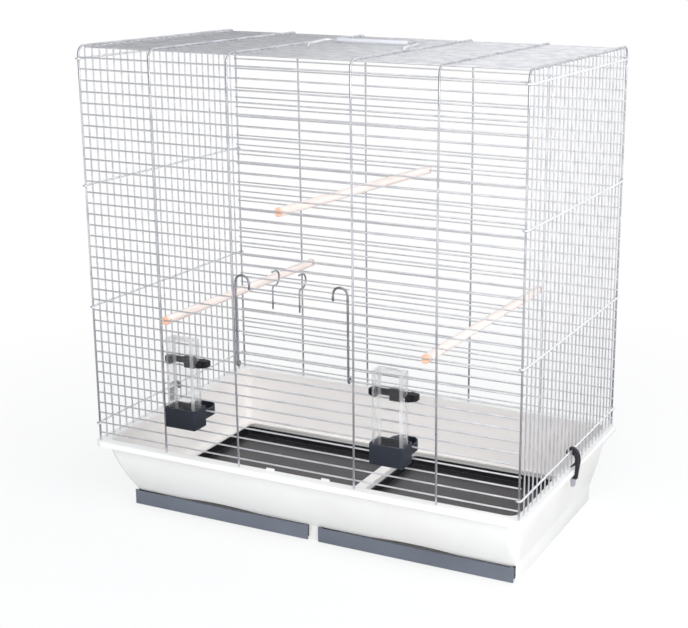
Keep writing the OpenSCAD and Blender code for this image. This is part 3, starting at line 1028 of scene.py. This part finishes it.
class FrontDoor(WirePiece):
    """Front door: cross bars on two canes, each curled round the bar below the opening."""

    node = "front_door"
    body = "door"
    wire_finish = CANE_PAINTED_SHADE
    CANE_D = 2.5
    LEFT_X, RIGHT_X = -70.0, 68.0
    ARCH_R = 8.75
    ARCH_ABOVE_BAR = 1.6
    LEG = 6.5
    CURL_START, CURL_SWEEP = 415, -235
    BOW = 0.4

    def shape(self) -> None:
        """The canes, and the bars across them."""
        self.cane(self.LEFT_X, 1)
        self.cane(self.RIGHT_X, -1)
        past = SIZE.bar / 2
        first = (self.LEFT_X - past, SIZE.door_bar_y, SIZE.row_z(SIZE.door_row + 1))
        run = (self.RIGHT_X - self.LEFT_X + 2 * past, 0, 0)
        self.bars(Bars(SIZE.door_bars, first, (0, 0, SIZE.pitch), run, self.BOW))

    def cane(self, x: float, side: int) -> None:
        """Adds a cane.

        Args:
            x: Its place.
            side: 1 where its arch turns to the right, -1 to the left.
        """
        hinge_y, hinge_z = -SIZE.row_y, SIZE.row_z(SIZE.door_row)
        curl_r = (SIZE.bar + self.CANE_D) / 2 + SIZE.hinge_play
        y, r = hinge_y - curl_r, self.ARCH_R
        shoulder = SIZE.row_z(SIZE.door_top) + self.ARCH_ABOVE_BAR - r
        points = arc((x, hinge_y, hinge_z), curl_r, self.CURL_START, self.CURL_SWEEP, "yz", 18)
        points += between((x, y, hinge_z), (x, y, shoulder))
        points += arc((x + side * r, y, shoulder), r, 90 + 90 * side, -180 * side, "xz", 15)
        points.append((x + side * 2 * r, y, shoulder - self.LEG))
        self.mesher.tube(points, self.CANE_D, 14)


class DoorCatch(WirePiece):
    """Catch wire on the door, which curls over the bar above it."""

    body = "door"
    wire_finish = CANE_PAINTED_SHADE
    x = 0.0
    WIRE_D = 1.8
    GAP = 0.1
    BELOW_BAR = 6.3
    ABOVE_BAR = 9.4
    BEND_R = 4.0
    CURL_R = 7.85
    CURL_IN = 6.0
    LEG, LEG_STATION = 21, 10
    TIP_OUT = 0.6

    def shape(self) -> None:
        """Leg, turn into the cage and curl back."""
        top = SIZE.row_z(SIZE.door_top)
        y = SIZE.door_bar_y - (SIZE.bar + self.WIRE_D) / 2 - self.GAP
        low, bend = top - self.BELOW_BAR, self.BEND_R
        points = [(self.x, y, low - bend - self.LEG), (self.x, y, low - bend - self.LEG_STATION)]
        points += arc((self.x, y + bend, low - bend), bend, 180, -90, "yz", 8)
        points += arc((self.x, y + self.CURL_IN, low + self.CURL_R), self.CURL_R, -90, 180, "yz", 16)
        points.append((self.x, y - self.TIP_OUT, top + self.ABOVE_BAR))
        self.mesher.tube(points, self.WIRE_D, 12)


class LeftCatch(DoorCatch):
    """Left catch."""

    node = "door_catch_left"
    x = -23.0


class RightCatch(DoorCatch):
    """Right catch."""

    node = "door_catch_right"
    x = 10.0


WIRE_PIECES = (FrontGrille, BackGrille, RoofGrille, RightGrille, LeftGrille, FrontDoor, LeftCatch, RightCatch)


# ---- moulded pieces


@dataclass(frozen=True)
class Dress:
    """How a piece is made from its CAD node.

    Edges that turn by more than angle are rounded to bevel; where edge names a finish,
    the rounded faces get it as a painted highlight. Aside slides the piece along X, skew
    turns it about the upright through its middle and slim scales it there; lugs marks
    end lugs to be slimmed. Lengths are in millimetres, angles in degrees.
    """

    node: str
    body: str
    slot: Slot
    finish: Finish
    bevel: float
    angle: float = 30.0
    aside: float = 0.0
    skew: float = 0.0
    edge: Moulded | None = None
    slim: Point | None = None
    lugs: bool = False


def pair(node: str, body: str, slot: Slot, finish: Finish, **how: object) -> tuple[Dress, ...]:
    """Dresses a left and a right piece alike; braces in the names stand for the side."""
    return tuple(Dress(node.format(side), body.format(side), slot, finish, **how) for side in ("left", "right"))


DRESSES = (
    Dress("base_tray", "cage", Slot.CREAM, CREAM, bevel=0.8, angle=40.0),
    *pair("drawer_{}", "{}_drawer", Slot.SLATE, SLATE, bevel=0.4, edge=SLATE_EDGE_HIGHLIGHT),
    Dress("perch_left", "cage", Slot.BEECH, BEECH, bevel=0.6, aside=3.5, skew=-1.36),
    Dress("perch_middle", "cage", Slot.BEECH, BEECH, bevel=0.6, skew=-5.07),
    Dress("perch_right", "cage", Slot.BEECH, BEECH, bevel=0.6, aside=-2.5, skew=-1.09),
    *pair("feeder_trough_{}", "cage", Slot.CHARCOAL, CHARCOAL, bevel=0.7, edge=CHARCOAL_EDGE_HIGHLIGHT),
    *pair("feeder_tube_{}", "{}_tube", Slot.CLEAR, CLEAR, bevel=0.3),
    *pair("feeder_clip_{}", "cage", Slot.BLACK, BLACK, bevel=0.5, lugs=True),
    *pair("side_clip_{}", "{}_clip", Slot.BLACK, SIDE_CLIP, bevel=0.5, slim=(1.0, 0.5, 1.0)),
    Dress("carry_handle", "handle", Slot.WIRE, WIRE, bevel=0.0),
    Dress("handle_grip", "handle", Slot.WHITE, WHITE, bevel=0.5, slim=(1.0, 0.75, 0.75)),
)


class Dresser:
    """Makes moulded pieces from their CAD nodes: merged, rounded and finished."""

    SAME_PLACE = 2e-6
    SAME_PLANE = math.radians(0.6)
    BEVEL_SEGMENTS = 3
    LUG_X = 19.5 * MM
    LUG_DEPTH, LUG_HEIGHT = 0.6, 0.75

    def __init__(self, paint: Paint) -> None:
        self.paint = paint

    def merged(self, node: Object, name: str) -> Mesh:
        """Copies a node's loose triangles into one closed mesh with whole faces.

        Args:
            node: The CAD node's object.
            name: The new mesh's name.

        Returns:
            The mesh.
        """
        shape = bmesh.new()
        shape.from_mesh(node.data)
        bmesh.ops.remove_doubles(shape, verts=shape.verts, dist=self.SAME_PLACE)
        bmesh.ops.dissolve_limit(shape, angle_limit=self.SAME_PLANE, verts=shape.verts, edges=shape.edges)
        for face in shape.faces:
            face.smooth = True
        data = bpy.data.meshes.new(name)
        shape.to_mesh(data)
        shape.free()
        return data

    def adjusted(self, data: Mesh, dress: Dress) -> None:
        """Turns, slides and slims a piece about the middle of its node's box."""
        low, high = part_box(dress.node)
        middle = (Vector(low) + Vector(high)) / 2
        there, back = Matrix.Translation(middle), Matrix.Translation(-middle)
        if dress.skew:
            slide = Matrix.Translation((dress.aside * MM, 0, 0))
            data.transform(slide @ there @ Matrix.Rotation(math.radians(dress.skew), 4, "Z") @ back)
        if dress.slim:
            data.transform(there @ Matrix.Diagonal((*dress.slim, 1.0)) @ back)
        if dress.lugs:
            self.slim_lugs([v.co for v in data.vertices if abs(v.co.x - middle.x) > self.LUG_X])

    def slim_lugs(self, lugs: list[Vector]) -> None:
        """Makes a clip's end lugs shallower from the front, and lower about their middle."""
        rear = max(at.y for at in lugs)
        level = (max(at.z for at in lugs) + min(at.z for at in lugs)) / 2
        for at in lugs:
            at.y = rear + (at.y - rear) * self.LUG_DEPTH
            at.z = level + (at.z - level) * self.LUG_HEIGHT

    def rounded(self, made: Object, dress: Dress) -> None:
        """Rounds a piece's edges; where the dress names an edge finish, the rounded faces take it as a painted
        highlight.
        """
        bevel = made.modifiers.new("round edges", "BEVEL")
        bevel.width = dress.bevel * MM
        bevel.segments = self.BEVEL_SEGMENTS
        bevel.limit_method = "ANGLE"
        bevel.angle_limit = math.radians(dress.angle)
        bevel.use_clamp_overlap = True
        bevel.harden_normals = True
        # the rounded faces take the lighter finish: a painted highlight
        if dress.edge:
            made.data.materials.append(self.paint.of(dress.edge))
            bevel.material = 1

    def dress(self, dress: Dress) -> Object:
        """Makes one piece.

        Args:
            dress: What to make it from and how.

        Returns:
            The piece.
        """
        name = dress.node + "_moulding"
        data = self.merged(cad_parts[dress.node], name)
        self.adjusted(data, dress)
        data.materials.append(self.paint.of(dress.finish))
        made = placed(name, data)
        if dress.bevel:
            self.rounded(made, dress)
        return enlisted(made, dress.node, dress.body)


# ---- studio


@dataclass(frozen=True)
class Lens:
    """The photograph's camera, found from the counted bars.

    Lengths are in bar pitches, from the left front post at the top bar.
    """

    azimuth: float = 24.126
    elevation: float = 14.849
    roll: float = 0.561
    shift: Point = (-12.135, -2.093, 127.614)
    pivot: Point = (17.0, 12.0, -20.0)
    focal_px: float = 1352.33
    centre_px: tuple[float, float] = (446.931, 292.161)
    frame_px: tuple[int, int] = (688, 628)
    sensor: float = 36.0
    far: float = 50.0


@dataclass(frozen=True)
class Lamp:
    """A square lamp that looks at the cage, in metres and watts."""

    name: str
    place: Point
    size: float
    power: float


LAMPS = (
    Lamp("key", (2.3, -0.9, 1.3), size=1.6, power=36.0),
    Lamp("fill", (0.7, -2.6, 1.7), size=1.8, power=33.0),
)


@dataclass(frozen=True)
class Tent:
    """White cards above, behind and before the cage, in metres, open at the left."""

    right: float = 2.2
    half_depth: float = 1.05
    height: float = 1.3
    left_above: float = -0.43
    left_behind: float = -1.4
    left_before: float = -0.52

    @property
    def cards(self) -> tuple[tuple[Point, ...], ...]:
        """The corners of each card."""
        x, y, z = self.right, self.half_depth, self.height
        above, behind, before = self.left_above, self.left_behind, self.left_before
        return (
            ((above, -y, z), (x, -y, z), (x, y, z), (above, y, z)),
            ((behind, y, z), (x, y, z), (x, y, 0.0), (behind, y, 0.0)),
            ((before, -y, z), (before, -y, 0.0), (x, -y, 0.0), (x, -y, z)),
        )


class Studio:
    """Floor, tent, light and camera."""

    LAMPS_LOOK_AT = (0.0, 0.0, 0.2)
    FLOOR = ((-6, -6, 0), (6, -6, 0), (6, 9, 0), (-6, 9, 0))
    FLOOR_COLOUR = (0.86, 0.86, 0.86)
    SHADOW_FADE = (0.35, 0.95)
    WHITE_NEAR_CAGE = 0.7
    REFLECTION_FADE = (0.5, 1.7)
    REFLECTION_SHADE = 0.75

    def __init__(self, lens: Lens) -> None:
        self.lens = lens
        self.scene = bpy.context.scene

    def stage(self, name: str, cards: tuple[tuple[Point, ...], ...]) -> Nodes:
        """Adds a piece of the stage.

        Args:
            name: Its name.
            cards: The four corners of each of its cards.

        Returns:
            A writer for its material.
        """
        corners = [corner for card in cards for corner in card]
        faces = [tuple(range(4 * i, 4 * i + 4)) for i in range(len(cards))]
        data = bpy.data.meshes.new(name)
        data.from_pydata(corners, [], faces)
        made = placed(name, data)
        material, s = fresh_material(name)
        data.materials.append(material)
        return s

    def floor(self) -> None:
        """A white floor that keeps a faint shadow; in the wires' reflections it is painted darker near the cage, a
        painted shade.
        """
        s = self.stage("floor", (self.FLOOR,))
        path = s.node("ShaderNodeLightPath").outputs
        away = s.node("ShaderNodeVectorMath", {0: s.place()}, operation="LENGTH").outputs["Value"]
        white = s.span(away, *self.SHADOW_FADE, to_low=self.WHITE_NEAR_CAGE)
        mirrored = path["Is Glossy Ray"]
        # reflections see the floor painted darker near the cage: painted shade
        shade = s.span(away, *self.REFLECTION_FADE, self.REFLECTION_SHADE, 0.0)
        strength = s.math("SUBTRACT", 1.0, s.times(mirrored, shade))
        matt = s.out("ShaderNodeBsdfDiffuse", {"Color": self.FLOOR_COLOUR})
        glow = s.out("ShaderNodeEmission", {"Strength": strength})
        seen = s.any_of(path["Is Camera Ray"], path["Is Transmission Ray"])
        surface = s.blend(s.any_of(s.times(seen, white), mirrored), matt, glow)
        s.node("ShaderNodeOutputMaterial", {"Surface": surface})

    def tent(self) -> None:
        """The tent's cards, which only reflections see."""
        s = self.stage("tent", Tent().cards)
        mirrored = s.node("ShaderNodeLightPath").outputs["Is Glossy Ray"]
        through = s.out("ShaderNodeBsdfTransparent")
        glow = s.out("ShaderNodeEmission", {"Strength": 1.0})
        s.node("ShaderNodeOutputMaterial", {"Surface": s.blend(mirrored, through, glow)})

    def world(self) -> None:
        """White to the camera, soft to the light, and dim to reflections past the tent."""
        world = bpy.data.worlds.new("studio")
        self.scene.world = world
        world.use_nodes = True
        world.node_tree.nodes.clear()
        s = Nodes(world.node_tree)
        path = s.node("ShaderNodeLightPath").outputs
        white, soft, dim = (
            s.out("ShaderNodeBackground", {"Color": colour, "Strength": strength})
            for colour, strength in (((1, 1, 1), 1.0), ((0.93, 0.96, 1.0), 0.8), ((0.85, 0.92, 1.0), 0.04))
        )
        around = s.blend(path["Is Glossy Ray"], soft, dim)
        seen = s.any_of(path["Is Camera Ray"], path["Is Transmission Ray"])
        s.node("ShaderNodeOutputWorld", {"Surface": s.blend(seen, around, white)})

    def light(self, lamp: Lamp) -> None:
        """Adds a lamp."""
        data = bpy.data.lights.new(lamp.name, "AREA")
        data.shape = "SQUARE"
        data.size = lamp.size
        data.energy = lamp.power
        made = placed(lamp.name, data)
        made.location = lamp.place
        heading = Vector(self.LAMPS_LOOK_AT) - Vector(lamp.place)
        made.rotation_euler = heading.to_track_quat("-Z", "Y").to_euler()

    def camera(self) -> None:
        """Places the camera from the photograph's fit."""
        lens, pitch = self.lens, SIZE.pitch * MM
        a, e, r = (math.radians(v) for v in (lens.azimuth, lens.elevation, lens.roll))
        fwd = Vector((-math.sin(a) * math.cos(e), math.cos(a) * math.cos(e), -math.sin(e)))
        level = Vector((math.cos(a), math.sin(a), 0))
        above = level.cross(fwd)
        right = level * math.cos(r) + above * math.sin(r)
        up = above * math.cos(r) - level * math.sin(r)
        # the fit's shift is counted right, down and ahead in the picture
        offset = right * lens.shift[0] - up * lens.shift[1] + fwd * lens.shift[2]
        at = (Vector(lens.pivot) - offset) * pitch
        top = Vector((-SIZE.width / 2, -SIZE.back_y, SIZE.row_z(SIZE.rows - 1))) * MM
        wide, high = lens.frame_px
        data = bpy.data.cameras.new("camera")
        data.sensor_fit = "HORIZONTAL"
        data.sensor_width = lens.sensor
        data.lens = lens.focal_px / wide * lens.sensor
        data.shift_x = (wide / 2 - lens.centre_px[0]) / wide
        data.shift_y = (lens.centre_px[1] - high / 2) / wide
        data.clip_end = lens.far
        made = placed("camera", data)
        made.matrix_world = Matrix.Translation(at + top) @ Matrix((right, up, -fwd)).transposed().to_4x4()
        self.scene.camera = made

    def build(self) -> None:
        """Sets up the whole studio."""
        self.floor()
        self.tent()
        self.world()
        for lamp in LAMPS:
            self.light(lamp)
        self.camera()
        self.scene.view_settings.view_transform = "Standard"


def main() -> None:
    """Dresses the cage."""
    paint = Paint()
    bar_field = BarField()
    for kind in WIRE_PIECES:
        kind(paint, bar_field).build()
    dresser = Dresser(paint)
    for dress in DRESSES:
        dresser.dress(dress)
    Studio(Lens()).build()


if __name__ == "__main__":
    main()
